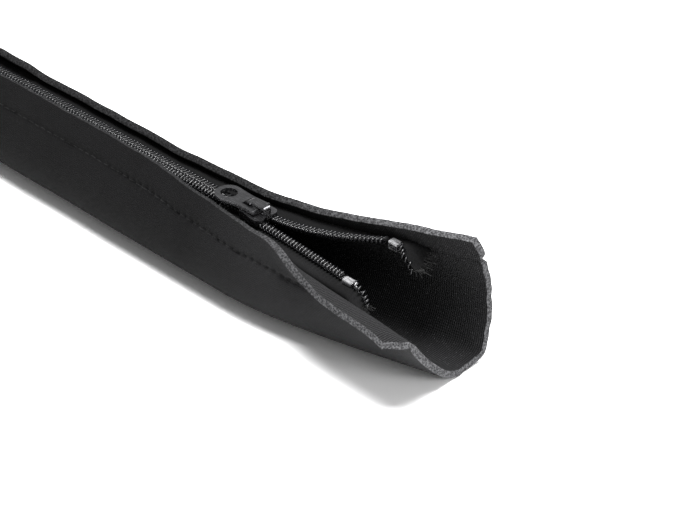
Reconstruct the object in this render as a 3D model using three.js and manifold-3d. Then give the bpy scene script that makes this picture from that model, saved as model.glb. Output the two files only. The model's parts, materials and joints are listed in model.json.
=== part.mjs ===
// Zippered cable sleeve: a foam-backed knit sheet sewn along both long edges to a coil zip, lying on a table.
// Millimetres, +Z up. The sleeve runs along X, with its open mouth at +X and its near side at -Y.
import * as THREE from 'three'
import { mergeVertices } from 'three/addons/utils/BufferGeometryUtils.js'
import Module from 'manifold-3d'

const wasm = await Module()
wasm.setup()

// Sheet
const sleeveLength = 500
const sheetThickness = 2.5
const tubeRadius = 14.5 // outside radius of the rounded sides
const restingFlat = 8 // width of the flat spot under the sleeve
const tubeOffset = 3 // middle of the flat spot, across from the zip
const mouthOffset = 18 // how much further across the mouth lies
const mouthStretch = 1.1 // the free end of the knit is pulled wider
const openLength = 78 // from the middle of the slider to the mouth
const flareStart = 12 // how far behind the slider the lips begin to part
const clearance = 0.3 // between pieces that touch

// Zip
const zipHeight = 33 // middle of the coils above the table
const coilPitch = 1.5
const coilWidth = 3.4
const coilHeight = 2.2
const headDepth = 0.9 // how far the heads of one coil reach between those of the other
const valleyDepth = 0.45 // of the dips between the turns of a coil
const coilGap = 0.15 // between the coils, and between a coil and its tape
const tapeThickness = 0.55
const tapeSetback = 1.1 // tape edge from the middle of the chain
const tapeSewnWidth = 11 // width of tape sewn to the inside of a lip
const tapeTail = 11 // tape beyond a top stop
const tapeInset = 2 // tape end from the closed end of the sleeve
const nearStopX = 0.59 * openLength // from the middle of the slider to the near top stop
const nearStopSpread = 2.4 // how far it stands from its closed place
const farStopX = 0.622 * openLength // the same for the far top stop
const farStopSpread = 10.5
const farStopRise = 7 // and how much higher it stands
const stopLength = 3.8
const stopReach = 2 // how far a top stop reaches over the tape
const stopWall = 0.7
const bottomStopSetback = 10 // bottom stop from the closed end
const bottomStopLength = 5

// Slider
const sliderLength = 10.6
const sliderFrontWidth = 10.2
const sliderRearWidth = 8.2
const lowerPlateWidth = 9
const plateThickness = 1
const flangeDrop = 1.3 // how far the top plate's side walls reach down beside the coils
const dividerWidth = 1.6
const crownWidth = 2.7
const crownLength = 10
const crownHeight = 3.3
const crownWall = 0.9
const pivotDiameter = 1.3

// Pull tab
const tabLength = 20.5 // from its pivot
const tabEndWidth = 9.2
const tabHingeWidth = 7.4
const tabThickness = 1.2
const pivotSetback = 4 // pivot from the front end of the slider
const tabWindowLength = 6.8
const tabRim = 2 // metal between the eye and the free end
const tabEyeLength = 6.6
const tabEyeWidth = 5.5
const tabDroop = 3.5 // degrees that the tab slopes down towards its free end

const mouthX = sleeveLength / 2
const closedX = -sleeveLength / 2
const sliderX = mouthX - openLength

const materials = {
  knit: { color: 0x1c1c1e, roughness: 0.9, metalness: 0 },
  tape: { color: 0x101012, roughness: 0.8, metalness: 0 },
  coil: { color: 0x08080a, roughness: 0.25, metalness: 0 },
  nickel: { color: 0xb9bbbe, roughness: 0.3, metalness: 1 },
  blackMetal: { color: 0x16171a, roughness: 0.3, metalness: 0.8 },
}

const degrees = Math.PI / 180

function ease(from, to, value) {
  const t = THREE.MathUtils.clamp((value - from) / (to - from), 0, 1)
  return t * t * (3 - 2 * t)
}

// Middle radius of the sheet where it rounds the sides, and the ends of the two lips beside the closed zip.
const middleRadius = tubeRadius - sheetThickness / 2
const lipGap = clearance + tapeThickness + clearance
const nearLip = new THREE.Vector2(-(sliderFrontWidth + sheetThickness) / 2 - lipGap, zipHeight)
const farLip = new THREE.Vector2((sliderFrontWidth + sheetThickness) / 2 + lipGap, zipHeight)

// A lip runs straight from its end down to the round of the tube. Gives its length and steepness in degrees.
function straightLip(end, centreY) {
  const outward = (end.x - centreY) * Math.sign(end.x)
  const up = end.y - tubeRadius
  const reach = Math.hypot(outward, up)
  const steepness = (Math.acos(middleRadius / reach) + Math.atan2(outward, up)) / degrees
  return { length: Math.sqrt(reach * reach - middleRadius * middleRadius), steepness }
}

const nearRun = straightLip(nearLip, tubeOffset - restingFlat / 2)
const farRun = straightLip(farLip, tubeOffset + restingFlat / 2)
const nearHeading = 180 + nearRun.steepness
const farHeading = 540 - farRun.steepness

// Headings along the closed section from the near lip: 270 is down, 360 across to the far side, 450 up.
const nearArc = middleRadius * (360 - nearHeading) * degrees
const farArc = middleRadius * (farHeading - 360) * degrees
const flatStart = nearRun.length + nearArc
const flatEnd = flatStart + restingFlat
const sheetWidth = flatEnd + farArc + farRun.length

const closedHeadings = [
  [0, nearHeading],
  [nearRun.length, nearHeading],
  [flatStart, 360],
  [flatEnd, 360],
  [flatEnd + farArc, farHeading],
  [sheetWidth, farHeading],
]

// Headings round the mouth, at shares of the sheet's width: the near lip curls out, the far wall stands up.
const mouthHeadings = [
  [0, 352],
  [0.04, 350],
  [0.115, 302],
  [0.22, 310],
  [0.33, 316],
  [0.43, 357],
  [0.5, 370],
  [0.56, 440],
  [0.68, 445],
  [0.85, 468],
  [1, 472],
].map(([share, heading]) => [share * sheetWidth, heading])

function headingAt(headings, along) {
  const next = Math.max(1, headings.findIndex(([place]) => place >= along))
  const [startPlace, startHeading] = headings[next - 1]
  const [endPlace, endHeading] = headings[next]
  return THREE.MathUtils.mapLinear(along, startPlace, endPlace, startHeading, endHeading)
}

// 0 where the zip is closed, 1 at the mouth.
function opening(x) {
  const start = sliderX - flareStart
  const t = THREE.MathUtils.clamp((x - start) / (mouthX - start), 0, 1)
  return t * t * (1.6 - 0.6 * t)
}

const sheetSteps = 28
const straightSpacing = 80
const flareSpacing = 6.2

// One section of the sheet: the middle line and its inward side, from the near lip to the far one.
function sheetSection(x) {
  const open = opening(x)
  const step = sheetWidth / sheetSteps
  const stretch = THREE.MathUtils.lerp(1, mouthStretch, open)
  const middle = [new THREE.Vector2()]
  const inward = []
  const anchor = (flatStart + flatEnd) / 2 / step
  const heading = (along) => {
    const place = Math.min(along, sheetWidth)
    const closed = headingAt(closedHeadings, place)
    return degrees * THREE.MathUtils.lerp(closed, headingAt(mouthHeadings, place), open)
  }
  for (let i = 0; i <= sheetSteps; i++) {
    const here = heading(i * step)
    inward.push(new THREE.Vector2(-Math.sin(here), Math.cos(here)))
    const between = heading((i + 0.5) * step)
    if (i < sheetSteps) {
      const ahead = new THREE.Vector2(Math.cos(between), Math.sin(between))
      middle.push(middle[i].clone().addScaledVector(ahead, step * stretch))
    }
  }
  const offset = (index, depth) => middle[index].clone().addScaledVector(inward[index], depth)
  const lowest = Math.min(...middle.map((_, i) => offset(i, -sheetThickness / 2).y))
  const anchorPoint = middle[Math.floor(anchor)].clone().lerp(middle[Math.ceil(anchor)], anchor % 1)
  const shift = new THREE.Vector2(tubeOffset + mouthOffset * open - anchorPoint.x, -lowest)
  middle.forEach((point) => point.add(shift))
  return { x, step, offset }
}

// A point of the section at a distance from the near lip, and at a depth inward from the middle of the sheet.
function sheetPoint(section, along, depth) {
  const place = THREE.MathUtils.clamp(along / section.step, 0, sheetSteps - 1e-6)
  const index = Math.floor(place)
  return section.offset(index, depth).lerp(section.offset(index + 1, depth), place - index)
}

function evenly(from, to, spacing) {
  const count = Math.ceil((to - from) / spacing)
  return Array.from({ length: count + 1 }, (_, i) => from + ((to - from) * i) / count)
}

// Places along the sleeve for its rings: far apart where it is straight, close together where it opens.
function stations(from, to) {
  const bend = sliderX - flareStart
  return [...evenly(from, bend, straightSpacing), ...evenly(bend, to, flareSpacing).slice(1)]
}

// Turns a mesh inside out where its volume comes out negative.
function facingOut(geometry) {
  const p = geometry.attributes.position
  const index = geometry.index.array
  const [a, b, c] = [new THREE.Vector3(), new THREE.Vector3(), new THREE.Vector3()]
  let volume = 0
  for (let i = 0; i < index.length; i += 3) {
    a.fromBufferAttribute(p, index[i])
    b.fromBufferAttribute(p, index[i + 1])
    c.fromBufferAttribute(p, index[i + 2])
    volume += a.dot(b.cross(c))
  }
  if (volume < 0) {
    for (let i = 0; i < index.length; i += 3) [index[i + 1], index[i + 2]] = [index[i + 2], index[i + 1]]
  }
  geometry.computeVertexNormals()
  return geometry
}

// Closes a ring that goes out along one face and back along the other, like the rungs of a ladder.
function capFaces(size) {
  const faces = []
  for (let i = 0; i < size / 2 - 1; i++) {
    faces.push([i, i + 1, size - 2 - i], [i, size - 2 - i, size - 1 - i])
  }
  return faces
}

// Skins a row of rings that all have the same number of points, and closes both ends.
function loft(rings) {
  const size = rings[0].length
  const index = []
  for (let r = 0; r + 1 < rings.length; r++) {
    for (let i = 0; i < size; i++) {
      const [a, b] = [r * size + i, r * size + ((i + 1) % size)]
      index.push(a, b, b + size, a, b + size, a + size)
    }
  }
  const last = (rings.length - 1) * size
  for (const [a, b, c] of capFaces(size)) {
    index.push(a, c, b, last + a, last + b, last + c)
  }
  const geometry = new THREE.BufferGeometry()
  const corners = rings.flat().flatMap((point) => point.toArray())
  geometry.setAttribute('position', new THREE.Float32BufferAttribute(corners, 3))
  geometry.setIndex(index)
  return facingOut(geometry)
}

function mergedPlain(geometry) {
  geometry.deleteAttribute('normal')
  geometry.deleteAttribute('uv')
  return mergeVertices(geometry, 1e-4)
}

function toSolid(geometry) {
  const merged = mergedPlain(geometry)
  return new wasm.Manifold(new wasm.Mesh({
    numProp: 3,
    vertProperties: new Float32Array(merged.attributes.position.array),
    triVerts: new Uint32Array(merged.index.array),
  }))
}

function toGeometry(solid) {
  const mesh = solid.getMesh()
  const geometry = new THREE.BufferGeometry()
  geometry.setAttribute('position', new THREE.BufferAttribute(new Float32Array(mesh.vertProperties), 3))
  geometry.setIndex(new THREE.BufferAttribute(new Uint32Array(mesh.triVerts), 1))
  geometry.computeVertexNormals()
  return geometry
}

function named(name, geometry, look) {
  const mesh = new THREE.Mesh(geometry, new THREE.MeshStandardMaterial(look))
  mesh.name = name
  return mesh
}

const at = (x, point) => new THREE.Vector3(x, point.x, point.y)

function sleeve() {
  const rings = stations(closedX, mouthX).map((x) => {
    const section = sheetSection(x)
    const outer = []
    const inner = []
    for (let i = 0; i <= sheetSteps; i++) {
      outer.push(at(x, section.offset(i, -sheetThickness / 2)))
      inner.push(at(x, section.offset(i, sheetThickness / 2)))
    }
    return [...outer, ...inner.reverse()]
  })
  return named('sleeve', loft(rings), materials.knit)
}

// Middle of a coil from the middle of the closed chain, and how far the divider moves it out from there.
const chainSpacing = coilWidth / 2 - (headDepth - coilGap) / 2
const dividerParting = dividerWidth / 2 + coilGap + (headDepth - coilGap) / 2

const stopX = (side) => sliderX + (side < 0 ? nearStopX : farStopX)

// Middle of one coil at x. Side is -1 for the near coil and 1 for the far one.
function coilMiddle(side, x) {
  const [spread, rise] = side < 0 ? [nearStopSpread, 0] : [farStopSpread, farStopRise]
  const share = THREE.MathUtils.clamp((x - sliderX) / (stopX(side) - sliderX), 0, 1)
  const parted = dividerParting * ease(sliderX - sliderLength / 2, sliderX + sliderLength / 8, x)
  const out = chainSpacing + parted + spread * share * share * (1.7 - 0.7 * share)
  return new THREE.Vector2(side * out, zipHeight + rise * share * share)
}

// A ring across one coil: its heads face the other coil, and it is fuller on a turn than between two turns.
function coilRing(side, x, onTurn) {
  const middle = coilMiddle(side, x)
  const back = middle.x + side * coilWidth / 2
  const front = middle.x - side * (coilWidth / 2 - (onTurn ? 0 : headDepth))
  const top = middle.y + coilHeight / 2 - (onTurn ? 0 : valleyDepth)
  const bottom = middle.y - coilHeight / 2
  const corners = [[back, bottom], [back, top], [front, top], [front, bottom]]
  return corners.map(([y, z]) => new THREE.Vector3(x, y, z))
}

function coil(side, name) {
  const start = closedX + bottomStopSetback + bottomStopLength + clearance
  const turns = Math.floor((stopX(side) - clearance - start) / coilPitch) * 2
  const phase = side < 0 ? 0 : 1
  const rings = []
  for (let i = 0; i < turns; i++) {
    rings.push(coilRing(side, start + (i * coilPitch) / 2, i % 2 === phase))
  }
  return named(name, loft(rings), materials.coil)
}

// Where the edge of a tape lies at x, and the height of its middle.
function tapeEdge(side, x) {
  const moved = coilMiddle(side, x).x - coilMiddle(side, closedX).x
  return new THREE.Vector2(moved + side * tapeSetback, coilMiddle(side, x).y + tapeTop - tapeThickness / 2)
}

// Width of the tape that lies flat under the closed zip.
const tapeFlat = sliderFrontWidth / 2 - tapeSetback

// The tape lies flat under its coil, clears the slider and then follows the inside of the lip.
function tapeLine(side, x) {
  const section = sheetSection(x)
  const edge = tapeEdge(side, x)
  const opened = ease(sliderX + sliderLength / 2, stopX(side), x)
  const flat = THREE.MathUtils.lerp(tapeFlat, stopReach + clearance, opened)
  const depth = (sheetThickness + tapeThickness) / 2 + clearance
  const along = (distance) => (side < 0 ? distance : sheetWidth - distance)
  return [
    edge,
    new THREE.Vector2(edge.x + side * flat, edge.y),
    ...[0.27 + 0.28 * opened, 0.63 + 0.17 * opened, 1].map((share) => (
      sheetPoint(section, along(share * tapeSewnWidth), depth)
    )),
  ]
}

function tapeRing(side, x) {
  const line = tapeLine(side, x)
  const normals = line.map((point, i) => {
    const along = line[Math.min(i + 1, line.length - 1)].clone().sub(line[Math.max(i - 1, 0)]).normalize()
    return new THREE.Vector2(-along.y, along.x).multiplyScalar(tapeThickness / 2)
  })
  const upper = line.map((point, i) => at(x, point.clone().add(normals[i])))
  const lower = line.map((point, i) => at(x, point.clone().sub(normals[i])))
  return [...upper, ...lower.reverse()]
}

function tape(side, name) {
  const held = stopX(side)
  const places = [...stations(closedX + tapeInset, held), held + stopLength, held + stopLength + tapeTail]
  return named(name, loft(places.map((x) => tapeRing(side, x))), materials.tape)
}

function outline(points) {
  return new THREE.Shape(points.map(([x, y]) => new THREE.Vector2(x, y)))
}

const curveSegments = 6

// Extrudes a plan outline upward from a height.
function plate(shape, from, to) {
  const geometry = new THREE.ExtrudeGeometry(shape, { depth: to - from, bevelEnabled: false, curveSegments })
  return geometry.translate(0, 0, from)
}

// Extrudes a side outline, drawn in X and Z, to a width centred on Y = 0.
function sidePlate(shape, width) {
  const geometry = new THREE.ExtrudeGeometry(shape, { depth: width, bevelEnabled: false, curveSegments })
  return geometry.rotateX(Math.PI / 2).translate(0, width / 2, 0)
}

// Extrudes an outline drawn in Y and Z along X, from x = 0.
function bar(shape, length) {
  const geometry = new THREE.ExtrudeGeometry(shape, { depth: length, bevelEnabled: false })
  return geometry.rotateX(Math.PI / 2).rotateZ(Math.PI / 2)
}

// Heights of the slider's parts from the middle of the chain.
const tapeTop = -coilHeight / 2 - coilGap
const topPlateUnder = coilHeight / 2 + clearance
const topPlateTop = topPlateUnder + plateThickness
const lowerPlateTop = tapeTop - tapeThickness - clearance
const lowerPlateUnder = lowerPlateTop - plateThickness
const chainHalfWidth = chainSpacing + coilWidth / 2

// Plan of a slider plate: narrow behind, round shoulders in front, where the zip is open.
function platePlan(rearWidth, frontWidth) {
  const back = -sliderLength / 2
  const front = sliderLength / 2
  const [corner, waist] = [0.1 * sliderLength, 0.28 * sliderLength]
  const [shoulder, swell, dip] = [0.24 * sliderLength, 0.47 * sliderLength, 0.08 * sliderLength]
  const [rear, half] = [rearWidth / 2, frontWidth / 2]
  const shape = new THREE.Shape()
  shape.moveTo(back, -rear + corner)
  shape.quadraticCurveTo(back, -rear, back + corner, -rear)
  shape.bezierCurveTo(back + waist, -rear, front - swell, -half, front - shoulder, -half)
  shape.quadraticCurveTo(front, -half, front, -half / 2)
  shape.quadraticCurveTo(front - dip, 0, front, half / 2)
  shape.quadraticCurveTo(front, half, front - shoulder, half)
  shape.bezierCurveTo(front - swell, half, back + waist, rear, back + corner, rear)
  shape.quadraticCurveTo(back, rear, back, rear - corner)
  return shape
}

// Room for the coils between the side walls: one chain wide behind, both coils and the divider in front.
function channelPlan() {
  const rear = chainHalfWidth + clearance
  const front = dividerWidth / 2 + coilGap + coilWidth + clearance / 2
  const end = sliderLength / 2 + 1
  return outline([
    [-end, -rear], [-sliderLength / 2, -rear], [sliderLength / 8, -front], [end, -front],
    [end, front], [sliderLength / 8, front], [-sliderLength / 2, rear], [-end, rear],
  ])
}

function dividerPlan() {
  const front = sliderLength / 2 - 0.7
  const half = dividerWidth / 2
  return outline([[0.4, 0], [2, -half], [front, -half], [front, half], [2, half]])
}

// The crown is a strap over the top plate, low behind, flat on top and steep in front.
function crownSide() {
  const base = topPlateTop - plateThickness / 2
  const top = topPlateTop + crownHeight
  const back = -crownLength / 2
  const front = crownLength / 2
  const shape = new THREE.Shape()
  shape.moveTo(back, base)
  shape.lineTo(back, topPlateTop + 1)
  shape.quadraticCurveTo(back + 0.4, top - 0.4, back + 3.2, top)
  shape.lineTo(front - 1.2, top)
  shape.quadraticCurveTo(front, top, front, top - 1.2)
  shape.lineTo(front, base)
  shape.lineTo(front - crownWall, base)
  shape.lineTo(front - crownWall, top - crownWall - 0.6)
  shape.quadraticCurveTo(front - crownWall, top - crownWall, front - crownWall - 0.6, top - crownWall)
  shape.lineTo(back + 3.2, top - crownWall)
  shape.quadraticCurveTo(back + crownWall + 0.5, top - crownWall - 0.4, back + crownWall, topPlateTop)
  shape.lineTo(back + crownWall, base)
  return shape
}

function sliderBody() {
  const wallUnder = topPlateUnder - flangeDrop
  const upper = toSolid(plate(platePlan(sliderRearWidth, sliderFrontWidth), wallUnder, topPlateTop))
  const channel = toSolid(plate(channelPlan(), wallUnder - 1, topPlateUnder))
  const lower = toSolid(plate(platePlan(sliderRearWidth, lowerPlateWidth), lowerPlateUnder, lowerPlateTop))
  const divider = toSolid(plate(dividerPlan(), lowerPlateUnder + 0.1, topPlateTop - 0.1))
  const crown = toSolid(sidePlate(crownSide(), crownWidth))
  const body = upper.subtract(channel).add(lower).add(divider).add(crown)
  const mesh = named('slider_body', toGeometry(body), materials.blackMetal)
  mesh.position.set(sliderX, 0, zipHeight)
  return mesh
}

// Plan of the pull tab, with its pivot bar on X = 0 and its free end at -X.
function tabPlan() {
  const hinge = tabHingeWidth / 2
  const end = tabEndWidth / 2
  const bar = pivotDiameter / 2
  const roundCentre = -tabLength + end
  const shape = new THREE.Shape()
  shape.moveTo(bar, -hinge)
  shape.lineTo(-tabWindowLength, -hinge)
  shape.bezierCurveTo(-tabWindowLength - 2, -hinge, roundCentre + 2, -end, roundCentre, -end)
  shape.absarc(roundCentre, 0, end, -Math.PI / 2, Math.PI / 2, true)
  shape.bezierCurveTo(roundCentre + 2, end, -tabWindowLength - 2, hinge, -tabWindowLength, hinge)
  shape.lineTo(bar, hinge)
  const inside = crownWidth / 2 + 0.7
  const windowHole = new THREE.Path()
  windowHole.moveTo(-bar, -inside)
  windowHole.lineTo(-bar, inside)
  windowHole.lineTo(-tabWindowLength, inside)
  windowHole.lineTo(-tabWindowLength, -inside)
  const eye = new THREE.Path()
  const eyeX = -tabLength + tabRim + tabEyeLength / 2
  eye.absellipse(eyeX, 0, tabEyeLength / 2, tabEyeWidth / 2, 0, Math.PI * 2, false)
  shape.holes.push(windowHole, eye)
  return shape
}

const pivotX = sliderX + sliderLength / 2 - pivotSetback
const pivotZ = zipHeight + topPlateTop + pivotDiameter / 2 + 2 * clearance

function pullTab() {
  const blade = toSolid(plate(tabPlan(), -tabThickness / 2, tabThickness / 2))
  const pin = new THREE.CylinderGeometry(pivotDiameter / 2, pivotDiameter / 2, tabHingeWidth + 0.4, 12)
  const mesh = named('pull_tab', toGeometry(blade.add(toSolid(pin))), materials.blackMetal)
  mesh.position.set(pivotX, 0, pivotZ)
  mesh.rotation.y = -tabDroop * degrees
  return mesh
}

// A top stop is a clip folded over the edge of the tape, open towards the lip.
function topStop(side, name) {
  const inner = tapeThickness / 2 + clearance
  const under = -inner - stopWall
  const over = inner + stopWall * 2
  const nose = -clearance - stopWall
  const shape = new THREE.Shape()
  shape.moveTo(nose, under + 0.4)
  shape.quadraticCurveTo(nose, under, nose + 0.4, under)
  const slot = [[stopReach, -inner], [-clearance, -inner], [-clearance, inner], [stopReach, inner]]
  shape.lineTo(stopReach, under)
  slot.forEach(([y, z]) => shape.lineTo(y, z))
  shape.lineTo(stopReach, over - 0.8)
  shape.quadraticCurveTo(stopReach, over, stopReach - 0.8, over)
  shape.lineTo(nose + 0.8, over)
  shape.quadraticCurveTo(nose, over, nose, over - 0.8)
  const geometry = bar(shape, stopLength)
  if (side < 0) geometry.scale(1, -1, 1)
  const mesh = named(name, facingOut(mergedPlain(geometry)), materials.nickel)
  const edge = tapeEdge(side, stopX(side) + stopLength / 2)
  mesh.position.set(stopX(side), edge.x, edge.y)
  return mesh
}

// The bottom stop joins both tape edges: a top and an under plate on a web between the tapes.
function bottomStop() {
  const inner = tapeThickness / 2 + clearance
  const web = tapeSetback - clearance
  const half = chainHalfWidth
  const over = coilHeight
  const under = -inner - stopWall
  const right = [[web, inner], [half, inner], [half, over - 0.7], [half - 0.7, over]]
  const low = [[half, under], [half, -inner], [web, -inner]]
  const mirror = (points) => points.map(([y, z]) => [-y, z]).reverse()
  const shape = outline([...low, ...right, ...mirror(right), ...mirror(low)])
  const mesh = named('bottom_stop', facingOut(mergedPlain(bar(shape, bottomStopLength))), materials.nickel)
  mesh.position.set(closedX + bottomStopSetback, 0, tapeEdge(1, closedX).y)
  return mesh
}

const group = new THREE.Group()
group.add(
  sleeve(),
  tape(-1, 'zip_tape_near'),
  tape(1, 'zip_tape_far'),
  coil(-1, 'zip_coil_near'),
  coil(1, 'zip_coil_far'),
  topStop(-1, 'top_stop_near'),
  topStop(1, 'top_stop_far'),
  bottomStop(),
  sliderBody(),
  pullTab(),
)

// The origin is under the middle of the whole object.
const box = new THREE.Box3().setFromObject(group)
group.position.set(-(box.min.x + box.max.x) / 2, -(box.min.y + box.max.y) / 2, -box.min.z)

export default group
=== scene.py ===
"""Visual model of the zippered sleeve, in metres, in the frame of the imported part."""
import json
import math

import bpy
import numpy as np
from mathutils import Matrix, Vector


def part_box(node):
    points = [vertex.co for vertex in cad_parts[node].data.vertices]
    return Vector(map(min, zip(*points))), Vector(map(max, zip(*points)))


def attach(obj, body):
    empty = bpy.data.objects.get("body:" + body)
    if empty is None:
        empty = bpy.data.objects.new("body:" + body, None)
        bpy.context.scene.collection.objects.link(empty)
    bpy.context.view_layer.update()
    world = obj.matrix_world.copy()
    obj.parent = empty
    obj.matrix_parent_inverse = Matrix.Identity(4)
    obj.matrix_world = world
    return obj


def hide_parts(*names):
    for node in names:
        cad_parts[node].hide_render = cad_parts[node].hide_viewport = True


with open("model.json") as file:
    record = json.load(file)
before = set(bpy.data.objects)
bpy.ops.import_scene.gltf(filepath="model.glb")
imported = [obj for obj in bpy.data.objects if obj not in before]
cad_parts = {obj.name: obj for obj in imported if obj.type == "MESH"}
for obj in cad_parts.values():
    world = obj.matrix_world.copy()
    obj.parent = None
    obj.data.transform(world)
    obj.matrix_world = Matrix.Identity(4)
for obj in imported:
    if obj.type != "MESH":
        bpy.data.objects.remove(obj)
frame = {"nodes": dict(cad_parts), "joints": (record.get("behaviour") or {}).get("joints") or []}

bl_info = {
    "name": "Zippered Sleeve",
    "version": (1, 0, 0),
    "blender": (4, 5, 0),
    "location": "View3D > Sidebar > Sleeve",
    "description": "Builds a foam-backed knit sleeve with a coil zip, slider and pull tab",
    "category": "Add Mesh",
}

MM = 0.001
SEED = 20
PIVOT_ABOVE_CHAIN = 3.65  # the tab hinge over the middle of the coils


# Small helpers


def ease(start, end, value):
    t = np.clip((np.asarray(value, float) - start) / (end - start), 0, 1)
    return t * t * (3 - 2 * t)


def mix(a, b, t):
    return a + (b - a) * t


def waves(x, periods, seed):
    """A smooth wavering line between about -1 and 1, the same at every run."""
    rng = np.random.default_rng(seed)
    phases = rng.uniform(0, 2 * math.pi, len(periods))
    weights = np.linspace(1, 0.5, len(periods))
    x = np.asarray(x, float)
    total = sum(w * np.sin(2 * math.pi * x / p + f) for p, f, w in zip(periods, phases, weights))
    return total / weights.sum() * 1.4


def places():
    """Middle of the slider and of the chain, and both ends of the sleeve, in millimetres."""
    low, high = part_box("slider_body")
    sleeve_low, sleeve_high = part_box("sleeve")
    return {
        "slider": (low[0] + high[0]) / 2 / MM,
        "chain": (low[1] + high[1]) / 2 / MM,
        "closed": sleeve_low[0] / MM,
        "mouth": sleeve_high[0] / MM,
        "zip": frame_height() - PIVOT_ABOVE_CHAIN,
    }


def frame_height():
    """Height of the tab's pivot in millimetres."""
    joint = next(j for j in frame["joints"] if j["type"] == "hinge")
    return joint["pos_m"][2] / MM


def make_mesh(name, verts, faces, slots=None, uv=None, sharp=50):
    """A mesh object from millimetre points in the row frame, with a material number for each face."""
    mesh = bpy.data.meshes.new(name)
    mesh.from_pydata((np.asarray(verts) * MM).tolist(), [], np.asarray(faces).tolist())
    mesh.polygons.foreach_set("use_smooth", [True] * len(mesh.polygons))
    if slots is not None:
        mesh.polygons.foreach_set("material_index", np.asarray(slots, int))
    if uv is not None:
        layer = mesh.uv_layers.new(name="flat")
        corner = np.empty(len(mesh.loops), int)
        mesh.loops.foreach_get("vertex_index", corner)
        layer.data.foreach_set("uv", np.asarray(uv, float)[corner].ravel())
    mesh.set_sharp_from_angle(angle=math.radians(sharp))
    mesh.update()
    obj = bpy.data.objects.new(name, mesh)
    bpy.context.scene.collection.objects.link(obj)
    return obj


def grid_faces(rows, columns, closed=False):
    """Quads of a grid of rows of points. Closed joins the last column to the first."""
    r, c = np.meshgrid(np.arange(rows - 1), np.arange(columns if closed else columns - 1), indexing="ij")
    a = r * columns + c
    b = r * columns + (c + 1) % columns
    return np.stack([a, b, b + columns, a + columns], axis=-1).reshape(-1, 4)


def tubes(paths, radius, sides=6):
    """Points and faces of round threads along paths, an array of path, point and xyz."""
    paths = np.asarray(paths, float)
    count, points, _ = paths.shape
    tangent = np.gradient(paths, axis=1)
    tangent /= np.linalg.norm(tangent, axis=2, keepdims=True) + 1e-12
    helper = np.where(np.abs(tangent[..., 2:3]) > 0.9, np.array([1.0, 0, 0]), np.array([0, 0, 1.0]))
    side = np.cross(tangent, helper)
    side /= np.linalg.norm(side, axis=2, keepdims=True) + 1e-12
    up = np.cross(side, tangent)
    turn = np.arange(sides) * 2 * math.pi / sides
    radius = np.broadcast_to(np.asarray(radius, float), (count, points))[..., None, None]
    cos, sin = (wave(turn)[None, None, :, None] for wave in (np.cos, np.sin))
    ring = side[:, :, None] * cos + up[:, :, None] * sin
    verts = paths[:, :, None] + ring * radius
    one = grid_faces(points, sides, closed=True)
    faces = (one[None] + (np.arange(count) * points * sides)[:, None, None]).reshape(-1, 4)
    return verts.reshape(-1, 3), faces


# Materials


def nodes_of(name):
    """A new material and its node tree, with a Principled shader."""
    material = bpy.data.materials.new(name)
    material.use_nodes = True
    tree = material.node_tree
    return material, tree, tree.nodes["Principled BSDF"]


def add_node(tree, kind, inputs=None, **settings):
    node = tree.nodes.new(kind)
    for key, value in settings.items():
        setattr(node, key, value)
    for key, value in (inputs or {}).items():
        if hasattr(value, "is_output"):
            tree.links.new(value, node.inputs[key])
        else:
            node.inputs[key].default_value = value
    return node


def ramp(tree, factor, stops):
    node = add_node(tree, "ShaderNodeValToRGB", {"Fac": factor})
    while len(node.color_ramp.elements) < len(stops):
        node.color_ramp.elements.new(0.5)
    for element, (place, colour) in zip(node.color_ramp.elements, stops):
        element.position = place
        element.color = (*colour, 1) if len(colour) == 3 else colour
    return node.outputs["Color"]


def grey(value):
    return (value, value, value * 1.02)


def noise(tree, vector, scale, detail, roughness=0.5):
    inputs = {"Vector": vector, "Scale": scale, "Detail": detail, "Roughness": roughness}
    return add_node(tree, "ShaderNodeTexNoise", inputs).outputs["Fac"]


def cells(tree, vector, scale):
    inputs = {"Vector": vector, "Scale": scale, "Randomness": 1.0}
    return add_node(tree, "ShaderNodeTexVoronoi", inputs).outputs["Distance"]


def bands(tree, vector, scale, direction, distortion, detail, detail_scale):
    """Soft stripes across one direction of the flat pattern."""
    node = add_node(tree, "ShaderNodeTexWave", {"Vector": vector, "Scale": scale})
    node.wave_type, node.bands_direction, node.wave_profile = "BANDS", direction, "SIN"
    node.inputs["Distortion"].default_value = distortion
    node.inputs["Detail"].default_value = detail
    node.inputs["Detail Scale"].default_value = detail_scale
    return node.outputs["Fac"]


def calculate(tree, operation, a, b):
    return add_node(tree, "ShaderNodeMath", {0: a, 1: b}, operation=operation).outputs[0]


def remap(tree, value, low, high, first, last, kind="LINEAR"):
    inputs = {"Value": value, "From Min": low, "From Max": high, "To Min": first, "To Max": last}
    return add_node(tree, "ShaderNodeMapRange", inputs, interpolation_type=kind).outputs["Result"]


def mix_colours(tree, share, a, b, kind="MIX"):
    node = add_node(tree, "ShaderNodeMix", {0: share, 6: a, 7: b}, data_type="RGBA", blend_type=kind)
    return node.outputs[2]


def axis_of(tree, vector, axis):
    return add_node(tree, "ShaderNodeSeparateXYZ", {0: vector}).outputs[axis]


def roughen(tree, shader, height, strength, depth):
    bump = add_node(tree, "ShaderNodeBump", {"Height": height, "Strength": strength, "Distance": depth})
    tree.links.new(bump.outputs["Normal"], shader.inputs["Normal"])


# Where painted light makes the cloth and the foam paler towards the mouth, along the sleeve in metres.
CLOTH_PAINTED_LIGHT = (0.15, 0.25)
FOAM_PAINTED_LIGHT = (0.165, 0.25)


def uneven_shade(tree, uv, grain, dark, light):
    """Dark to light over a few centimetres and over each loop."""
    cloud = noise(tree, uv, 0.09, 4.0, 0.6)
    half = calculate(tree, "MULTIPLY", calculate(tree, "ADD", cloud, grain), 0.5)
    return ramp(tree, half, [(0.3, grey(dark)), (0.7, grey(light))])


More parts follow.
